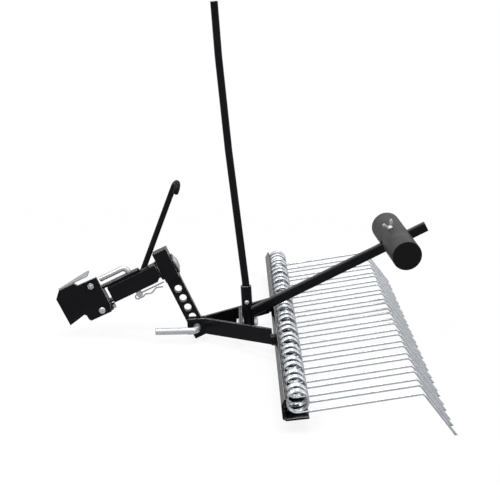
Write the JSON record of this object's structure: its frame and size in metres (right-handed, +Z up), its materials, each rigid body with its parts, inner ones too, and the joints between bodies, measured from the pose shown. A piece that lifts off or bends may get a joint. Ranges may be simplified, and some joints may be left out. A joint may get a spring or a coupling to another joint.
{
  "type": "tow behind aerator",
  "caption": "Tow-behind lawn rake: folded bar with double spring tines, splayed legs, lift lever, sliding weight on a slanted arm, and a pivoting hitch.",
  "frame": {"origin": "middle of the overall box, on the ground under the tine tips", "axes": "+Z up, +Y along the tine bar, +X backwards from the hitch to the tine tips"},
  "size_m": [0.6468, 1, 0.5918],
  "materials": {
    "black_paint": "gloss",
    "zinc": "bright",
    "spring_wire": "bright",
    "weight_grey": "satin",
    "pale_plate": "satin"
  },
  "bodies": {
    "rake": {"tine_bar": "black_paint", "spring_clamps": "black_paint", "spring_bolts": "zinc", "spring_nuts": "zinc", "frame_leg_right": "black_paint", "frame_leg_left": "black_paint", "cross_plate": "black_paint", "cross_bolt": "zinc", "cross_nut": "zinc", "cross_washer": "zinc", "lever_socket": "black_paint", "lever": "black_paint", "lever_bolt": "zinc", "lever_nut": "zinc", "weight_arm": "black_paint", "spring_1": "spring_wire", "spring_2": "spring_wire", "spring_3": "spring_wire", "spring_4": "spring_wire", "spring_5": "spring_wire", "spring_6": "spring_wire", "spring_7": "spring_wire", "spring_8": "spring_wire", "spring_9": "spring_wire", "spring_10": "spring_wire", "spring_11": "spring_wire", "spring_12": "spring_wire", "spring_13": "spring_wire", "spring_14": "spring_wire"},
    "height_bar": {"height_bar": "black_paint", "pivot_block": "black_paint"},
    "drawbar": {"drawbar": "black_paint", "roll_washer_front": "black_paint", "roll_washer_rear": "black_paint", "roll_nut": "zinc", "roll_bolt": "zinc", "hook_rod": "black_paint", "hitch_pin": "zinc", "hitch_clip": "zinc"},
    "hitch": {"hitch_strap": "black_paint", "side_plate": "black_paint", "gusset_plate": "pale_plate", "clamp_plate": "black_paint", "clamp_bolts": "zinc", "clamp_nuts": "zinc", "strap_bolt": "zinc", "strap_nut": "zinc"},
    "counterweight": {"counterweight": "weight_grey"},
    "wing_screw": {"wing_screw": "zinc"},
    "lift_pin": {"lift_pin": "zinc"}
  },
  "joints": [
    {"name": "lift_hinge", "type": "hinge", "parent": "rake", "child": "height_bar", "pos_m": [-0.07528, 0, 0.02376], "axis": [0, 1, 0], "range_deg": [-30, 19]},
    {"name": "roll_hinge", "type": "hinge", "parent": "height_bar", "child": "drawbar", "pos_m": [-0.13068, 0, 0.12795], "axis": [0.8829, 0, 0.4695], "range_deg": [-8, 8]},
    {"name": "hitch_yaw", "type": "hinge", "parent": "drawbar", "child": "hitch", "pos_m": [-0.18895, 0, 0.09696], "axis": [-0.4695, 0, 0.8829], "range_deg": [-3, 3]},
    {"name": "weight_slide", "type": "slide", "parent": "rake", "child": "counterweight", "axis": [0.8763, 0, 0.4818], "range_m": [-0.17, 0.03]},
    {"name": "wing_screw_turn", "type": "hinge", "parent": "counterweight", "child": "wing_screw", "pos_m": [0.26869, 0, 0.18777], "axis": [-0.4729, -0.1908, 0.8602], "continuous": true},
    {"name": "lift_pin_slide", "type": "slide", "parent": "rake", "child": "lift_pin", "axis": [0, -1, 0], "range_m": [0, 0.028]}
  ]
}
